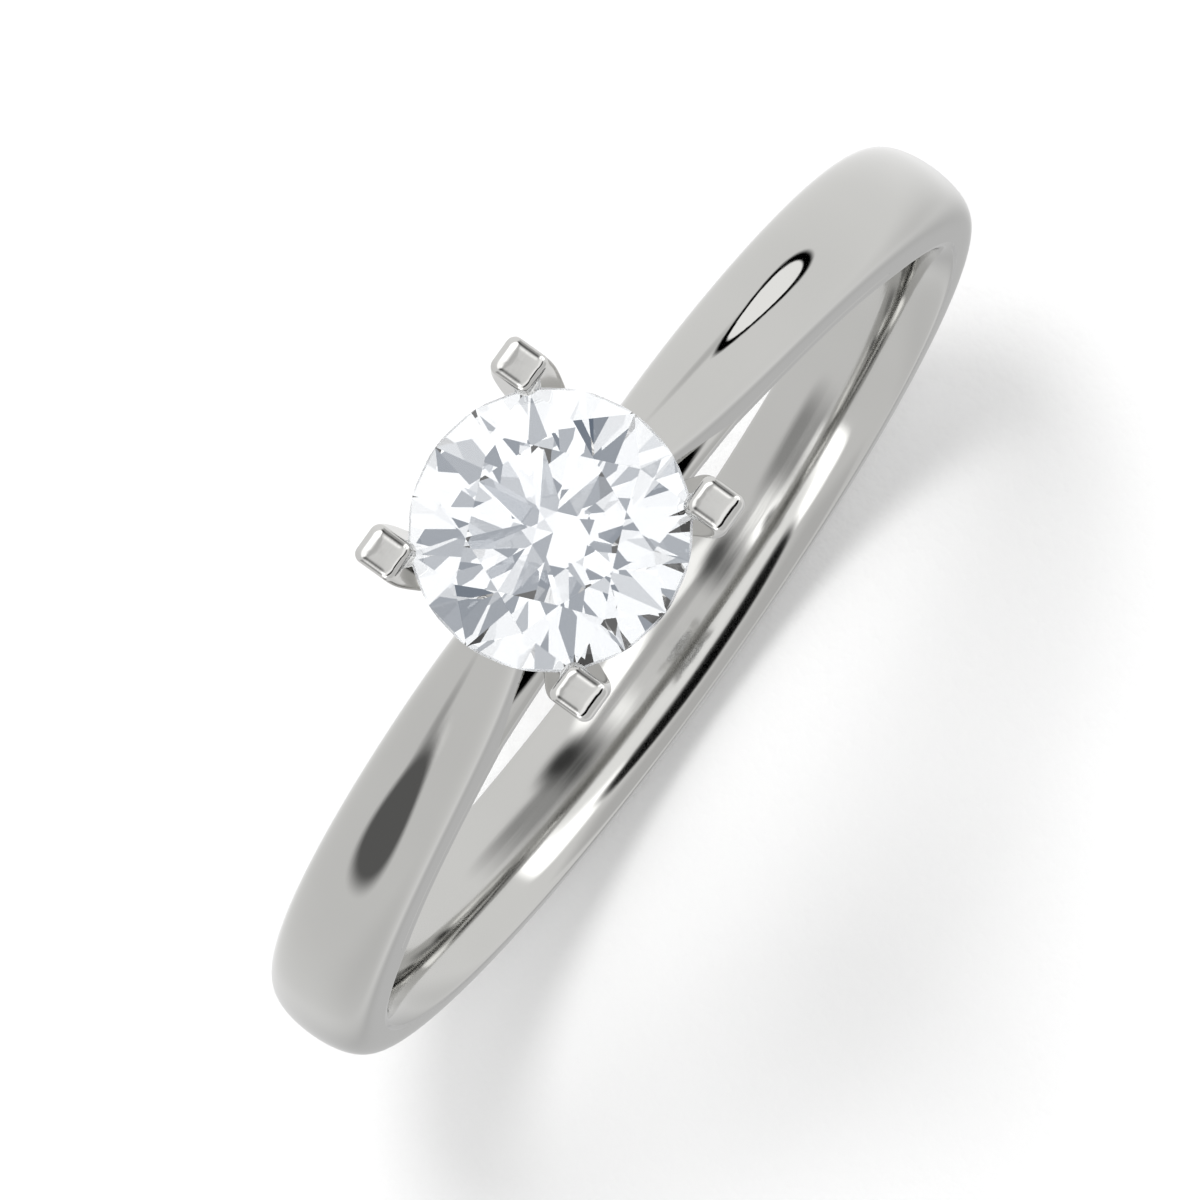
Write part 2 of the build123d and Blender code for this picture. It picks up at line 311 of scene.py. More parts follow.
class Shell:
    """Patches of points in millimetres that become one smooth-shaded mesh."""

    def __init__(self):
        self.points = []
        self.normals = []
        self.faces = []

    def add_grid(self, grid, closed=False):
        """A patch of rows and columns of points, closed or open along its columns."""
        grid = np.asarray(grid, float)
        rows, columns = grid.shape[:2]
        if closed:
            wrapped = np.concatenate([grid[:, -2:], grid, grid[:, :2]], axis=1)
            across = np.gradient(wrapped, axis=1)[:, 2:-2]
        else:
            across = np.gradient(grid, axis=1, edge_order=2)
        along = np.gradient(grid, axis=0, edge_order=2)
        normals = np.cross(along, across)
        normals /= np.maximum(np.linalg.norm(normals, axis=2, keepdims=True), LEAST_LENGTH)
        start = len(self.points)
        self.points.extend(grid.reshape(-1, 3))
        self.normals.extend(normals.reshape(-1, 3))
        for row in range(rows - 1):
            for column in range(columns if closed else columns - 1):
                following = (column + 1) % columns
                low = start + row * columns
                high = low + columns
                self.faces.append((low + column, high + column, high + following, low + following))

    def add_cap(self, loop, outward):
        """A flat face across a closed loop of points."""
        loop = np.asarray(loop, float)
        turn = np.zeros(3)
        for index in range(len(loop)):
            turn += np.cross(loop[index - 1], loop[index])
        if np.dot(turn, outward) < 0:
            loop = loop[::-1]
        start = len(self.points)
        outward = np.asarray(outward, float) / np.linalg.norm(outward)
        self.points.extend(loop)
        self.normals.extend([outward] * len(loop))
        self.faces.append(tuple(range(start, start + len(loop))))

    def add_end(self, loop, angle, side):
        """A flat face across the band at an angle, facing the way angles grow or the other way."""
        turn = math.radians(angle)
        self.add_cap(loop, side * np.array((math.cos(turn), 0, -math.sin(turn))))

    def mirrored(self, scale):
        """A copy scaled by plus or minus one along each axis."""
        copy = Shell()
        scale = np.asarray(scale, float)
        copy.points = [point * scale for point in self.points]
        copy.normals = [normal * scale for normal in self.normals]
        flip = np.prod(scale) < 0
        copy.faces = [face[::-1] if flip else face for face in self.faces]
        return copy

    def build(self, name):
        """The mesh object, in metres, shaded with the patches' own normals."""
        mesh = bpy.data.meshes.new(name)
        mesh.from_pydata([tuple(point * MM) for point in self.points], [], self.faces)
        mesh.shade_smooth()
        mesh.normals_split_custom_set_from_vertices([tuple(normal) for normal in self.normals])
        return add_object(mesh, name)


def corner(middle, radius, start, end):
    """Points round a corner from one angle to another, in degrees, without the end points."""
    places = []
    for step in range(1, EDGE_STEPS):
        turn = math.radians(start + (end - start) * step / EDGE_STEPS)
        places.append((middle[0] + radius * math.cos(turn), middle[1] + radius * math.sin(turn)))
    return places


def on_band(angle, across, radius):
    """Point at an angle round the band, a place along the finger and a distance from its axis."""
    turn = math.radians(angle)
    return (radius * math.sin(turn), across, radius * math.cos(turn))


# ---------------------------------------------------------------- band


def fold(angle):
    """The same place on the +X half of the band: 0 under the stone, 180 at the base."""
    angle = abs(angle)
    return angle if angle <= 180 else 360 - angle


def share_to_base(angle):
    """Rises smoothly from 0 at the band's side to 1 at its base."""
    return (1 - math.cos(math.radians(2 * (angle - 90)))) / 2


def share_to_head(angle):
    """Rises evenly from 0 at the band's side to 1 beside the head."""
    return (90 - angle) / (90 - HEAD_ANGLE)


def band_half_width(angle):
    """Half the band's width: widest at the sides, a little less at the base, pinched at the head."""
    if angle > 90:
        change = BAND_HALF_WIDTH_BASE - BAND_HALF_WIDTH_SIDE
        return BAND_HALF_WIDTH_SIDE + change * share_to_base(angle)
    share = share_to_head(angle)
    return BAND_HALF_WIDTH_SIDE - TAPER * share**TAPER_POWER - PINCH * share**PINCH_POWER


def band_thickness(angle):
    """Height of the band's crest above the finger hole."""
    if angle > 90:
        change = BAND_THICKNESS_BASE - BAND_THICKNESS_SIDE
        return BAND_THICKNESS_SIDE + change * share_to_base(angle)
    share = share_to_head(angle)
    return BAND_THICKNESS_SIDE + SWELL * share**SWELL_POWER + LIFT * share**LIFT_POWER


def dome_height(angle):
    """Height of the dome above its straight side walls."""
    share = share_to_head(min(angle, 90))
    return DOME_HEIGHT_SIDE + (DOME_HEIGHT_HEAD - DOME_HEIGHT_SIDE) * share**SWELL_POWER


def dome_turns():
    """Angles that place the dome's points evenly along its arc and its turning."""
    fine = np.linspace(-np.pi / 2, np.pi / 2, DOME_SAMPLES)
    x = np.sin(fine)
    y = DOME_SPACING_HEIGHT * np.sqrt(np.maximum(np.cos(fine), 0))
    run = np.hypot(np.diff(x), np.diff(y))
    heading = np.unwrap(np.arctan2(np.diff(y), np.diff(x)))
    turning = np.abs(np.diff(heading, append=heading[-1]))
    travel = np.concatenate([[0], np.cumsum(run + turning)])
    return np.interp(np.linspace(0, travel[-1], DOME_POINTS), travel, fine)


DOME_TURNS = dome_turns()


def outer_profile(angle, low):
    """Wall, dome and wall of the band as (across, radius) pairs, from a low radius to the crest."""
    half = band_half_width(angle)
    height = dome_height(angle)
    spring = FINGER_RADIUS + band_thickness(angle) - height
    wall = [low + (spring - low) * step / WALL_STEPS for step in range(WALL_STEPS)]
    profile = [(-half, radius) for radius in wall]
    for turn in DOME_TURNS:
        rise = math.sqrt(max(math.cos(turn), 0))
        profile.append((half * math.sin(turn), spring + height * rise))
    profile += [(half, radius) for radius in reversed(wall)]
    return profile


def finger_ease(angle):
    """Depth and reach of the rounding inside the band: slight at the head, full round the shank."""
    share = min(max((angle - SEAM_ANGLE) / (FULL_EASE_ANGLE - SEAM_ANGLE), 0), 1)
    share = share * share * (3 - 2 * share)
    half = band_half_width(angle)
    spring = band_thickness(angle) - dome_height(angle)
    depth = COMFORT_RADIUS + (spring - COMFORT_RADIUS) * share
    reach = COMFORT_RADIUS + (ROUNDED_SHARE * half - COMFORT_RADIUS) * share
    return depth, reach


def inner_profile(half, depth, reach):
    """Finger side of the band from the +Y wall round to the -Y wall: eased edges and a flat middle."""
    quarter = []
    for step in range(1, FINGER_EASE_STEPS + 1):
        turn = math.radians(90 * step / FINGER_EASE_STEPS)
        across = half - reach + reach * math.cos(turn)
        quarter.append((across, FINGER_RADIUS + depth * (1 - math.sin(turn))))
    land = half - reach
    flat = [(land * (1 - step / LAND_HALF_STEPS), FINGER_RADIUS) for step in range(1, 2 * LAND_HALF_STEPS)]
    mirrored = [(-across, radius) for across, radius in reversed(quarter)]
    return quarter + flat + mirrored


def sweep(section_at, angles):
    """Closed solid of one section swept round the finger, with flat ends."""
    rows = [[on_band(angle, *place) for place in section_at(angle)] for angle in angles]
    shell = Shell()
    shell.add_grid(np.array(rows)[::-1], closed=True)
    shell.add_end(rows[0], angles[0], -1)
    shell.add_end(rows[-1], angles[-1], 1)
    return shell


def shank_section(angle):
    """Closed section of the band: walls and dome outside, rounded finger side inside."""
    folded = fold(angle)
    depth, reach = finger_ease(folded)
    section = outer_profile(folded, FINGER_RADIUS + depth)
    return section + inner_profile(band_half_width(folded), depth, reach)[:-1]


def build_shank():
    """Lower band between the shoulder seams."""
    return sweep(shank_section, np.arange(SEAM_ANGLE, 360 - SEAM_ANGLE + BAND_STEP / 2, BAND_STEP))


def crown_drop(across):
    """How far the rail's crowned top falls away from its middle."""
    radius = (RAIL_HALF_WIDTH**2 + RAIL_CROWN**2) / (2 * RAIL_CROWN)
    return radius - math.sqrt(radius**2 - across**2)


def rail_section(angle):
    """Closed section of the rail: crowned top, eased edges and finger side."""
    half = max(RAIL_HALF_WIDTH, band_half_width(fold(angle)))
    edge = RAIL_EDGE_RADIUS
    low = FINGER_RADIUS + COMFORT_RADIUS
    high = RAIL_RADIUS - crown_drop(half) - edge
    section = [(-half, radius) for radius in np.linspace(low, high, RAIL_WALL_POINTS)]
    section += corner((-half + edge, high), edge, 180, 90)
    for across in np.linspace(-half + edge, half - edge, RAIL_TOP_POINTS):
        section.append((across, RAIL_RADIUS - crown_drop(across)))
    section += corner((half - edge, high), edge, 90, 0)
    section += [(half, radius) for radius in np.linspace(high, low, RAIL_WALL_POINTS)]
    return section + inner_profile(half, COMFORT_RADIUS, COMFORT_RADIUS)[:-1]


def build_rail():
    """Finger rail: the strip under the head that closes the finger circle."""
    return sweep(rail_section, np.arange(-SEAM_ANGLE, SEAM_ANGLE + BAND_STEP / 2, BAND_STEP))


def underside_radius(angle, across):
    """Distance from the finger's axis to the shoulder's underside: the rail or the rising arch."""
    rail = RAIL_RADIUS - crown_drop(across)
    turn = math.radians(angle)
    run = ARCH_END[0] - ARCH_START[0]
    rise = ARCH_END[1] - ARCH_START[1]
    offset = ARCH_START[0] * rise - ARCH_START[1] * run
    slope = math.sin(turn) * rise - math.cos(turn) * run
    arch = offset / slope if angle < ARCH_LIMIT_ANGLE else 0
    return max(rail, arch)


def build_shoulder():
    """Right cathedral shoulder: its outer skin, its underside and its two ends."""
    skin = []
    under = []
    for angle in np.linspace(SEAM_ANGLE, HEAD_ANGLE, SHOULDER_ROWS):
        half = band_half_width(angle)
        section = outer_profile(angle, underside_radius(angle, half))
        skin.append([on_band(angle, *place) for place in section])
        under.append([
            on_band(angle, across, underside_radius(angle, across))
            for across in np.linspace(half, -half, UNDERSIDE_POINTS)
        ])
    shell = Shell()
    shell.add_grid(np.array(skin))
    shell.add_grid(np.array(under))
    shell.add_end(skin[0] + under[0][1:-1], SEAM_ANGLE, 1)
    shell.add_end(skin[-1] + under[-1][1:-1], HEAD_ANGLE, -1)
    return shell


# ---------------------------------------------------------------- head


def claw_section_at(height):
    """Inner and outer corner of the claw at a height, on a smooth curve through its sections."""
    heights = [section[0] for section in CLAW_SECTIONS]
    values = np.array([[*section[1], *section[2]] for section in CLAW_SECTIONS])
    slopes = np.gradient(values, heights, axis=0)
    index = min(max(np.searchsorted(heights, height) - 1, 0), len(heights) - 2)
    span = heights[index + 1] - heights[index]
    share = (height - heights[index]) / span
    start = 2 * share**3 - 3 * share**2 + 1
    leave = share**3 - 2 * share**2 + share
    end = -2 * share**3 + 3 * share**2
    arrive = share**3 - share**2
    return (start * values[index] + leave * span * slopes[index]
            + end * values[index + 1] + arrive * span * slopes[index + 1])


def rounded_loop(height):
    """Closed rounded rectangle of points round the claw at a height."""
    low_x, low_y, high_x, high_y = claw_section_at(height)
    radius = CLAW_EDGE_RADIUS
    centres = (
        (high_x - radius, high_y - radius),
        (low_x + radius, high_y - radius),
        (low_x + radius, low_y + radius),
        (high_x - radius, low_y + radius),
    )
    loop = []
    for quarter, (x, y) in enumerate(centres):
        next_x, next_y = centres[(quarter + 1) % 4]
        for step in range(CLAW_CORNER_STEPS + 1):
            turn = math.radians(90 * (quarter + step / CLAW_CORNER_STEPS))
            loop.append((x + radius * math.cos(turn), y + radius * math.sin(turn), height))
        x, y = loop[-1][:2]
        next_x += radius * math.cos(turn)
        next_y += radius * math.sin(turn)
        for step in range(1, CLAW_SIDE_STEPS):
            share = step / CLAW_SIDE_STEPS
            loop.append((x + (next_x - x) * share, y + (next_y - y) * share, height))
    return np.array(loop)


def build_claw_blank():
    """Back right claw before it is notched; its rim is crisper on the side over the stone."""
    foot = CLAW_SECTIONS[0][0]
    top = CLAW_SECTIONS[-1][0]
    loops = [rounded_loop(height) for height in np.linspace(foot, top - CLAW_RIM_HEIGHT, CLAW_LOOPS)]
    for turn in np.linspace(0, math.pi / 2, CLAW_RIM_LOOPS)[1:-1]:
        spread = math.cos(turn) ** (2 / CLAW_RIM_POWER)
        crisp = math.cos(turn) ** (2 / CLAW_STONE_SIDE_POWER)
        rise = math.sin(turn) ** (2 / CLAW_RIM_POWER)
        height = top - CLAW_RIM_HEIGHT * (1 - rise)
        corners = claw_section_at(height)
        middle = np.array([*(corners[:2] + corners[2:]) / 2, height])
        offset = rounded_loop(height) - middle
        offset[:, 0] *= spread
        offset[:, 1] *= np.where(offset[:, 1] < 0, crisp, spread)
        loops.append(middle + offset)
    return closed_mesh(loops, "claw_blank")


def build_drum():
    """Cutter in the shape of everything inside the rail's crowned top."""
    rings = []
    for across in np.linspace(-DRUM_HALF_WIDTH, DRUM_HALF_WIDTH, DRUM_RINGS):
        radius = RAIL_RADIUS - crown_drop(across)
        rings.append([on_band(angle, across, radius) for angle in range(0, 360, DRUM_STEP)])
    return add_object(closed_mesh(rings, "drum"), "drum")


def carve(piece, cutters):
    """Takes the cutters out of a piece, exactly."""
    for cutter in cutters:
        step = piece.modifiers.new("cut", "BOOLEAN")
        step.operation = "DIFFERENCE"
        step.solver = "EXACT"
        step.object = cutter
    graph = bpy.context.evaluated_depsgraph_get()
    carved = bpy.data.meshes.new_from_object(piece.evaluated_get(graph))
    piece.modifiers.clear()
    piece.data = carved


def build_claws(seat):
    """The four claws with their node names, each notched for the stone and seated on the rail."""
    drum = build_drum()
    blank = build_claw_blank()
    claws = []
    for place, sign_x, sign_y in CLAW_PLACES:
        mesh = blank.copy()
        mesh.transform(Matrix.Diagonal((sign_x, sign_y, 1, 1)))
        if sign_x * sign_y < 0:
            mesh.flip_normals()
        claw = add_object(mesh, "claw_look_" + place)
        carve(claw, (drum, seat))
        shade_by_angle(claw)
        claws.append((claw, "claw_" + place))
    bpy.data.objects.remove(drum)
    return claws


def build_gallery():
    """Gallery ring: a rounded square wire turned round the stone's axis."""
    inner, outer = GALLERY_RADII
    low, high = GALLERY_Z
    edge = GALLERY_EDGE_RADIUS
    profile = []
    for middle, start in (
        ((outer - edge, high - edge), 90),
        ((outer - edge, low + edge), 0),
        ((inner + edge, low + edge), -90),
        ((inner + edge, high - edge), -180),
    ):
        turn = math.radians(start)
        profile.append((middle[0] + edge * math.cos(turn), middle[1] + edge * math.sin(turn)))
        profile += corner(middle, edge, start, start - 90)
        turn = math.radians(start - 90)
        profile.append((middle[0] + edge * math.cos(turn), middle[1] + edge * math.sin(turn)))
    rows = []
    for turn in np.linspace(0, 2 * math.pi, GALLERY_TURNS + 1):
        rows.append([(radius * math.cos(turn), radius * math.sin(turn), z) for radius, z in profile])
    shell = Shell()
    shell.add_grid(np.array(rows)[::-1], closed=True)
    return shell


def build_base():
    """Cross bar between the claw feet: a block with its top edges rounded."""
    work = bmesh.new()
    bmesh.ops.create_cube(work, size=1)
    low, high = BASE_Z
    for vert in work.verts:
        vert.co.x *= BASE_SIZE[0] * MM
        vert.co.y *= BASE_SIZE[1] * MM
        vert.co.z = (low if vert.co.z < 0 else high) * MM
    middle = (low + high) / 2 * MM
    top = [edge for edge in work.edges if all(vert.co.z > middle for vert in edge.verts)]
    bmesh.ops.bevel(
        work, geom=top, offset=BASE_EDGE_RADIUS * MM, segments=EDGE_STEPS, affect="EDGES", profile=0.5)
    piece = add_object(new_mesh(work, "base"), "base_look")
    shade_by_angle(piece)
    return piece


# ---------------------------------------------------------------- stone


def polar(radius, angle, height):
    """Point at a radius, an angle in degrees and a height about the stone's axis."""
    turn = math.radians(angle)
    return Vector((radius * math.cos(turn), radius * math.sin(turn), height))


def facet_plane(first, second, third):
    """Point and outward normal of the plane through three points."""
    normal = (second - first).cross(third - first).normalized()
    if normal.dot(first) < 0:
        normal = -normal
    return (first, normal)


def brilliant_planes():
    """Facet planes of a round brilliant whose girdle lies at height zero."""
    step = 360 / STONE_FOLD
    crown_rise = math.tan(math.radians(CROWN_ANGLE))
    pavilion_fall = math.tan(math.radians(PAVILION_ANGLE))
    table_radius = TABLE_RATIO * STONE_RADIUS
    table_height = GIRDLE_HALF + (STONE_RADIUS - table_radius) * crown_rise
    half_cosine = math.cos(math.radians(step / 2))
    edge_middle = table_radius * half_cosine
    star_radius = edge_middle + STAR_RATIO * (STONE_RADIUS - edge_middle)
    star_height = GIRDLE_HALF + (STONE_RADIUS - star_radius * half_cosine) * crown_rise
    lower_radius = STONE_RADIUS * (1 - LOWER_HALF_RATIO)
    lower_height = -GIRDLE_HALF - (STONE_RADIUS - lower_radius * half_cosine) * pavilion_fall
    planes = [(Vector((0, 0, table_height)), Vector((0, 0, 1)))]
    for facet in range(STONE_FOLD):
        angle = step * facet
        beside = angle + step / 2
        following = angle + step
        outward = polar(1, angle, 0)
        planes.append((polar(STONE_RADIUS, angle, GIRDLE_HALF),
                       (outward * crown_rise + Vector((0, 0, 1))).normalized()))
        planes.append((polar(STONE_RADIUS, angle, -GIRDLE_HALF),
                       (outward * pavilion_fall - Vector((0, 0, 1))).normalized()))
        star_tip = polar(star_radius, beside, star_height)
        lower_tip = polar(lower_radius, beside, lower_height)
        planes.append(facet_plane(
            polar(table_radius, angle, table_height),
            polar(table_radius, following, table_height),
            star_tip,
        ))
        for side in (angle, following):
            for height, tip in ((GIRDLE_HALF, star_tip), (-GIRDLE_HALF, lower_tip)):
                planes.append(facet_plane(
                    polar(STONE_RADIUS, side, height), polar(STONE_RADIUS, beside, height), tip))
    return planes


def build_stone(name, scale=1.0):
    """Round brilliant: a fine cylinder with every facet cut from it, flat shaded."""
    work = bmesh.new()
    bmesh.ops.create_cone(
        work, cap_ends=True, segments=GIRDLE_POINTS, radius1=STONE_RADIUS, radius2=STONE_RADIUS,
        depth=4 * STONE_RADIUS)
    for point, normal in brilliant_planes():
        everything = work.verts[:] + work.edges[:] + work.faces[:]
        cut = bmesh.ops.bisect_plane(
            work, geom=everything, dist=CUT_TOLERANCE, plane_co=point, plane_no=normal, clear_outer=True)
        rim = [item for item in cut["geom_cut"] if isinstance(item, bmesh.types.BMEdge)]
        if rim:
            bmesh.ops.contextual_create(work, geom=rim)
    bmesh.ops.recalc_face_normals(work, faces=work.faces)
    mesh = new_mesh(work, name)
    mesh.transform(Matrix.Translation((0, 0, GIRDLE_Z * MM)) @ Matrix.Scale(scale * MM, 4))
    mesh.shade_flat()
    return add_object(mesh, name)


# ---------------------------------------------------------------- node helpers


class NodeSum:
    """Short calls that add nodes to a tree and link them."""

    def __init__(self, tree):
        self.tree = tree

    def put(self, socket, value):
        """Links a socket to another or sets its value."""
        if isinstance(value, bpy.types.NodeSocket):
            self.tree.links.new(value, socket)
        else:
            socket.default_value = value

    def place(self):
        """Place on the object, in metres."""
        return self.tree.nodes.new("ShaderNodeTexCoord").outputs["Object"]

    def math(self, operation, first, second=0.0):
        """Result of a Math node."""
        node = self.tree.nodes.new("ShaderNodeMath")
        node.operation = operation
        self.put(node.inputs[0], first)
        self.put(node.inputs[1], second)
        return node.outputs[0]

    def dot(self, vector, axis):
        """Dot product of a vector socket with a fixed axis."""
        node = self.tree.nodes.new("ShaderNodeVectorMath")
        node.operation = "DOT_PRODUCT"
        self.put(node.inputs[0], vector)
        node.inputs[1].default_value = tuple(axis)
        return node.outputs["Value"]

    def length(self, vector, scale):
        """Length of a vector socket after each axis is scaled."""
        scaled = self.tree.nodes.new("ShaderNodeVectorMath")
        scaled.operation = "MULTIPLY"
        self.put(scaled.inputs[0], vector)
        scaled.inputs[1].default_value = scale
        span = self.tree.nodes.new("ShaderNodeVectorMath")
        span.operation = "LENGTH"
        self.put(span.inputs[0], scaled.outputs[0])
        return span.outputs["Value"]

    def join(self, *values):
        """Vector from three values."""
        node = self.tree.nodes.new("ShaderNodeCombineXYZ")
        for socket, value in zip(node.inputs, values):
            self.put(socket, value)
        return node.outputs[0]

    def fade(self, value, inner, outer):
        """One inside a limit and zero outside another, with a smooth change between them."""
        node = self.tree.nodes.new("ShaderNodeMapRange")
        node.interpolation_type = "SMOOTHSTEP"
        self.put(node.inputs["Value"], value)
        node.inputs["From Min"].default_value = inner
        node.inputs["From Max"].default_value = outer
        node.inputs["To Min"].default_value = 1.0
        node.inputs["To Max"].default_value = 0.0
        return node.outputs["Result"]

    def ellipse(self, place, half):
        """Distance from the middle of an ellipse in the YZ plane, one at its rim; sizes in mm."""
        total = 0.0
        for axis, reach in (((0, 1, 0), half[0]), ((0, 0, 1), half[1])):
            share = self.math("DIVIDE", self.dot(place, axis), reach * MM)
            total = self.math("ADD", total, self.math("MULTIPLY", share, share))
        return self.math("SQRT", total)

    def cloud(self, place, scale, low, high, detail=2.0):
        """Soft noise between two values over a place."""
        noise = self.tree.nodes.new("ShaderNodeTexNoise")
        noise.inputs["Scale"].default_value = scale
        noise.inputs["Detail"].default_value = detail
        self.put(noise.inputs["Vector"], place)
        spread = self.tree.nodes.new("ShaderNodeMapRange")
        self.put(spread.inputs["Value"], noise.outputs["Fac"])
        spread.inputs["From Min"].default_value = NOISE_MIDDLE[0]
        spread.inputs["From Max"].default_value = NOISE_MIDDLE[1]
        spread.inputs["To Min"].default_value = low
        spread.inputs["To Max"].default_value = high
        return spread.outputs["Result"]

    def bump(self, height, depth):
        """Normal bent by a height of zero to one that stands for a depth."""
        node = self.tree.nodes.new("ShaderNodeBump")
        node.inputs["Distance"].default_value = depth
        self.put(node.inputs["Height"], height)
        return node.outputs["Normal"]

    def grey(self, level):
        """Colour with the same level in each channel."""
        node = self.tree.nodes.new("ShaderNodeCombineColor")
        for channel in node.inputs:
            self.put(channel, level)
        return node.outputs[0]

    def blend(self, below, above, share):
        """Mixes two values or sockets by a share."""
        node = self.tree.nodes.new("ShaderNodeMix")
        node.data_type = "FLOAT"
        for socket, value in zip((node.inputs[0], node.inputs[2], node.inputs[3]), (share, below, above)):
            self.put(socket, value)
        return node.outputs[0]

    def tint(self, below, above, share):
        """Mixes two colours or colour sockets by a share."""
        node = self.tree.nodes.new("ShaderNodeMix")
        node.data_type = "RGBA"
        node.clamp_factor = True
        self.put(node.inputs[0], share)
        for socket, colour in ((node.inputs[6], below), (node.inputs[7], above)):
            self.put(socket, colour if isinstance(colour, bpy.types.NodeSocket) else (*colour, 1))
        return node.outputs[2]


def new_material(name):
    """New material, with calls that add to its nodes and with its shader's inputs."""
    material = bpy.data.materials.new(name)
    material.use_nodes = True
    tree = material.node_tree
    return material, NodeSum(tree), tree.nodes["Principled BSDF"].inputs


# ---------------------------------------------------------------- materials


def hair_marks(nodes, place, outward):
    """Fine polishing marks that run round the band."""
    turn = nodes.math("ARCTAN2", nodes.dot(place, (1, 0, 0)), nodes.dot(place, (0, 0, 1)))
    along = nodes.math("MULTIPLY", turn, HAIR_ALONG * RAIL_RADIUS * MM)
    across = nodes.dot(place, (0, HAIR_ACROSS, 0))
    rise = nodes.math("MULTIPLY", outward, HAIR_ACROSS)
    return nodes.cloud(nodes.join(along, across, rise), HAIR_SCALE, 0.0, 1.0, HAIR_DETAIL)


def polished_metal(name, tint, roughness, inside_roughness):
    """Polished white metal with hair marks, handling haze, worn edges and a softer finger side."""
    material, nodes, inputs = new_material(name)
    inputs["Metallic"].default_value = 1.0
    place = nodes.place()
    outward = nodes.length(place, (1, 0, 1))
    marks = hair_marks(nodes, place, outward)
    handling = nodes.cloud(place, HANDLING_SCALE, 0.0, 1.0)
    edges = nodes.tree.nodes.new("ShaderNodeNewGeometry").outputs["Pointiness"]
    worn = nodes.fade(edges, WORN_FULL, WORN_START)
    darker = tuple(channel * TINT_SHADE for channel in tint)
    nodes.put(inputs["Base Color"], nodes.tint(tint, darker, nodes.math("MULTIPLY", handling, TINT_CHANGE)))
    inside = nodes.fade(outward, INSIDE_RADIUS * MM, OUTSIDE_RADIUS * MM)
    gloss = nodes.blend(roughness, inside_roughness, inside)
    for amount, source in ((HANDLING_ROUGHNESS, handling), (HAIR_ROUGHNESS, marks), (WORN_ROUGHNESS, worn)):
        gloss = nodes.math("ADD", gloss, nodes.math("MULTIPLY", source, amount))
    nodes.put(inputs["Roughness"], gloss)
    nodes.put(inputs["Normal"], nodes.bump(marks, HAIR_DEPTH))
    return material


def ground_girdle(nodes, place):
    """Grainy roughness of the stone's ground girdle, zero on the polished facets."""
    height = nodes.math("SUBTRACT", nodes.dot(place, (0, 0, 1)), GIRDLE_Z * MM)
    level = nodes.fade(nodes.math("ABSOLUTE", height), GIRDLE_HALF * MM, GIRDLE_HALF * GRINDING_EDGE * MM)
    around = nodes.length(place, (1, 1, 0))
    within = nodes.fade(around, STONE_RADIUS * MM, STONE_RADIUS * GRINDING_DEPTH * MM)
    ground = nodes.math("MULTIPLY", level, nodes.math("SUBTRACT", 1.0, within))
    grain = nodes.cloud(place, GRINDING_SCALE, *GRINDING_GRAIN)
    return nodes.math("MULTIPLY", ground, nodes.math("MULTIPLY", grain, GRINDING_ROUGHNESS))


def gem_glass():
    """Clear faceted stone with a diamond's refraction and a faint growth tint."""
    material, nodes, inputs = new_material("brilliant_stone")
    inputs["IOR"].default_value = STONE_IOR
    inputs["Transmission Weight"].default_value = 1.0
    place = nodes.place()
    nodes.put(inputs["Roughness"], ground_girdle(nodes, place))
    growth = nodes.cloud(place, GROWTH_SCALE, 0.0, 1.0)
    nodes.put(inputs["Base Color"], nodes.tint(STONE_CLEAR, STONE_TINT, growth))
    return material


def plain_floor():
    """Plain pale studio card with a slight mottle and a fine paper grain."""
    material, nodes, inputs = new_material("studio_floor")
    inputs["Specular IOR Level"].default_value = FLOOR_SPECULAR
    place = nodes.place()
    mottle = nodes.cloud(place, FLOOR_MOTTLE, 0.0, 1.0)
    grain = nodes.cloud(place, FLOOR_GRAIN, 0.0, 1.0)
    nodes.put(inputs["Base Color"], nodes.tint(FLOOR_SHADE, FLOOR_TINT, mottle))
    nodes.put(inputs["Roughness"], nodes.blend(*FLOOR_ROUGHNESS, grain))
    nodes.put(inputs["Normal"], nodes.bump(grain, FLOOR_GRAIN_DEPTH))
    return material


def card_material(name, half, rim, level, frame_level, softness):
    """Disc of one level inside a frame of another, clear outside the frame."""
    material = bpy.data.materials.new(name)
    material.use_nodes = True
    tree = material.node_tree
    nodes = NodeSum(tree)
    reach = nodes.ellipse(nodes.place(), half)
    glow = tree.nodes.new("ShaderNodeEmission")
    inside = nodes.fade(reach, 1 - CARD_BLUR, 1 + CARD_BLUR)
    nodes.put(glow.inputs["Strength"], nodes.blend(frame_level, level, inside))
    clear = tree.nodes.new("ShaderNodeBsdfTransparent")
    mix = tree.nodes.new("ShaderNodeMixShader")
    nodes.put(mix.inputs[0], nodes.fade(reach, rim - softness, rim + softness))
    nodes.put(mix.inputs[1], clear.outputs[0])
    nodes.put(mix.inputs[2], glow.outputs[0])
    nodes.put(tree.nodes["Material Output"].inputs["Surface"], mix.outputs[0])
    return material


# ---------------------------------------------------------------- studio


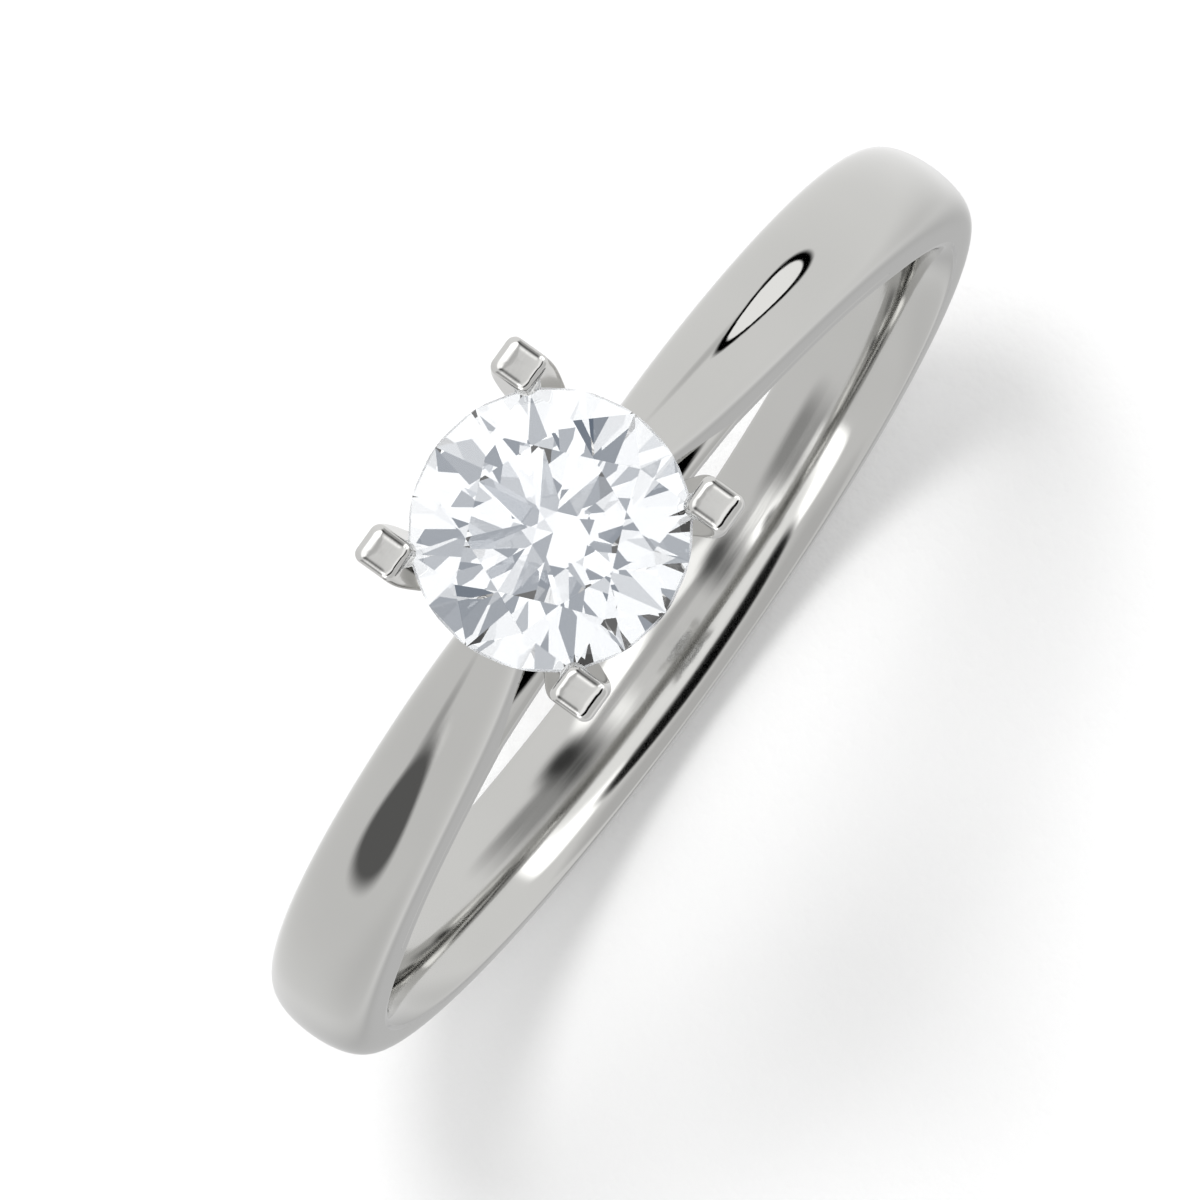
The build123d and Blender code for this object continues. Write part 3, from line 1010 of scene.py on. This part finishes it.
def add_camera():
    """Camera at the picture's angle."""
    azimuth = math.radians(CAMERA_AZIMUTH)
    elevation = math.radians(CAMERA_ELEVATION)
    back = Vector((
        math.sin(azimuth) * math.cos(elevation),
        -math.cos(azimuth) * math.cos(elevation),
        math.sin(elevation),
    ))
    level_right = back.cross(Vector((0, 0, -1))).normalized()
    turn = Matrix.Rotation(math.radians(CAMERA_ROLL), 3, back)
    right = turn @ level_right
    up = back.cross(right)
    data = bpy.data.cameras.new("camera")
    data.lens = CAMERA_LENS
    data.sensor_width = CAMERA_SENSOR
    data.clip_start, data.clip_end = CAMERA_CLIP
    camera = add_object(data, "camera")
    placed = Matrix.Translation(CAMERA_AIM + back * CAMERA_DISTANCE)
    camera.matrix_world = placed @ Matrix((right, up, back)).transposed().to_4x4()
    bpy.context.scene.camera = camera


def add_card(name, corners, material):
    """Flat staged card between four corners in metres."""
    mesh = bpy.data.meshes.new(name)
    mesh.from_pydata(corners, [], [(0, 1, 2, 3)])
    mesh.materials.append(material)
    card = add_object(mesh, name)
    card.visible_transmission = False
    return card


def add_floor():
    """Large floor just under the ring; what the ring mirrors below it is the studio's own ground."""
    low = cad_box[0][2]
    size = FLOOR_HALF_SIZE
    corners = [(-size, -size, low), (size, -size, low), (size, size, low), (-size, size, low)]
    floor = add_card("floor", corners, plain_floor())
    floor.visible_glossy = False


def add_side_cards():
    """Small cards beside the shoulders, seen only by reflection: a dark one and a framed disc."""
    reach = CARD_HALF * MM
    corners = [(0, -reach, -reach), (0, reach, -reach), (0, reach, reach), (0, -reach, reach)]
    for name, place, *look in SIDE_CARDS:
        card = add_card(name, corners, card_material(name, *look))
        card.location = Vector(place) * MM
        card.visible_camera = False
        card.visible_shadow = False
        card.visible_diffuse = False


def direction(azimuth, elevation):
    """Unit vector at an azimuth from +X towards +Y and an elevation, both in degrees."""
    around, up = math.radians(azimuth), math.radians(elevation)
    return Vector((math.cos(around) * math.cos(up), math.sin(around) * math.cos(up), math.sin(up)))


def add_key_light():
    """Soft key light from behind the ring, which lays its shadow in front of it."""
    data = bpy.data.lights.new("key", "AREA")
    data.shape = "DISK"
    data.size = KEY_SIZE
    data.energy = KEY_POWER
    light = add_object(data, "key")
    light.location = direction(KEY_AZIMUTH, KEY_ELEVATION) * KEY_DISTANCE
    light.rotation_euler = (-light.location).to_track_quat("-Z", "Y").to_euler()
    light.visible_camera = False
    light.visible_glossy = False
    light.visible_transmission = False


def panel_mask(nodes, ray, azimuth, elevation, half_width, half_height, lean, power, softness):
    """Soft-edged patch of the sky round a direction, flat on a plane that faces it."""
    centre = direction(azimuth, elevation)
    across = Vector((-math.sin(math.radians(azimuth)), math.cos(math.radians(azimuth)), 0))
    upward = centre.cross(across)
    turn = Matrix.Rotation(math.radians(lean), 3, centre)
    facing = nodes.dot(ray, centre)
    ahead = nodes.math("GREATER_THAN", facing, LEAST_FACING)
    depth = nodes.math("MAXIMUM", facing, LEAST_FACING)
    total = 0.0
    for axis, half in ((turn @ across, half_width), (turn @ upward, half_height)):
        share = nodes.math("DIVIDE", nodes.dot(ray, axis), depth)
        share = nodes.math("DIVIDE", nodes.math("ABSOLUTE", share), math.tan(math.radians(half)))
        total = nodes.math("ADD", total, nodes.math("POWER", share, power))
    size = nodes.math("POWER", total, 1 / power)
    return nodes.math("MULTIPLY", ahead, nodes.fade(size, 1 - softness, 1 + softness))


def studio_level(nodes, ray):
    """Brightness that the polish mirrors from a direction."""
    left_share = nodes.fade(nodes.dot(ray, (1, 0, 0)), -STUDIO_LEVEL_CHANGE, STUDIO_LEVEL_CHANGE)
    level = nodes.blend(STUDIO_LEVEL_RIGHT, STUDIO_LEVEL_LEFT, left_share)
    for _, *shape, brightness in STUDIO_PANELS:
        level = nodes.blend(level, brightness, panel_mask(nodes, ray, *shape))
    return level


def stone_sky(nodes, ray):
    """Pale sky with slate patches, as the stone's own rays find it."""
    patches = 0.0
    for _, *shape in STONE_PATCHES:
        patches = nodes.math("MAXIMUM", patches, panel_mask(nodes, ray, *shape))
    shade = nodes.cloud(ray, SLATE_SCALE, SLATE_LOW, SLATE_HIGH)
    return nodes.tint(STONE_SKY, STONE_SLATE, nodes.math("MULTIPLY", patches, shade))


def add_world():
    """Pale studio that only mirrors and the stone see in detail; the camera sees it plain."""
    world = bpy.data.worlds.new("studio")
    bpy.context.scene.world = world
    world.use_nodes = True
    world.cycles.sampling_method = "MANUAL"
    world.cycles.sample_map_resolution = WORLD_SAMPLES
    tree = world.node_tree
    nodes = NodeSum(tree)
    ray = tree.nodes.new("ShaderNodeTexCoord").outputs["Generated"]
    path = tree.nodes.new("ShaderNodeLightPath").outputs
    level = nodes.blend(studio_level(nodes, ray), CAMERA_SKY, path["Is Camera Ray"])
    seen = nodes.tint(nodes.grey(level), stone_sky(nodes, ray), path["Is Transmission Ray"])
    nodes.put(tree.nodes["Background"].inputs["Color"], seen)


# ---------------------------------------------------------------- assembly


def dress(piece, node, material):
    """Gives a new piece its material and slot, and lets it stand for its CAD node."""
    piece.data.materials.clear()
    piece.data.materials.append(material)
    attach(piece, "root")
    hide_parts(node)


def build_ring():
    """Every visible piece of the ring."""
    # One metal in two tints: the band is darker by painted shade and the head is lighter by painted light.
    band = polished_metal("polished_band_painted_shade", BAND_TINT_PAINTED_SHADE, BAND_ROUGHNESS, INSIDE_ROUGHNESS)
    head = polished_metal("polished_head_painted_light", HEAD_TINT_PAINTED_LIGHT, HEAD_ROUGHNESS, HEAD_ROUGHNESS)
    shoulder = build_shoulder()
    dress(build_shank().build("shank_look"), "shank", band)
    dress(build_rail().build("rail_look"), "finger_rail", band)
    dress(shoulder.build("shoulder_look_right"), "shoulder_right", band)
    left = shoulder.mirrored((-1, 1, 1))
    dress(left.build("shoulder_look_left"), "shoulder_left", band)
    seat = build_stone("seat", SEAT_SCALE)
    for claw, node in build_claws(seat):
        dress(claw, node, head)
    bpy.data.objects.remove(seat)
    dress(build_gallery().build("gallery_look"), "gallery_ring", head)
    dress(build_base(), "head_base", head)
    dress(build_stone("stone_look"), "stone", gem_glass())


add_camera()
add_floor()
add_world()
add_key_light()
add_side_cards()
build_ring()
scene = bpy.context.scene
scene.view_settings.view_transform = "Standard"
scene.cycles.max_bounces = LIGHT_BOUNCES
scene.cycles.transmission_bounces = LIGHT_BOUNCES
scene.cycles.glossy_bounces = MIRROR_BOUNCES
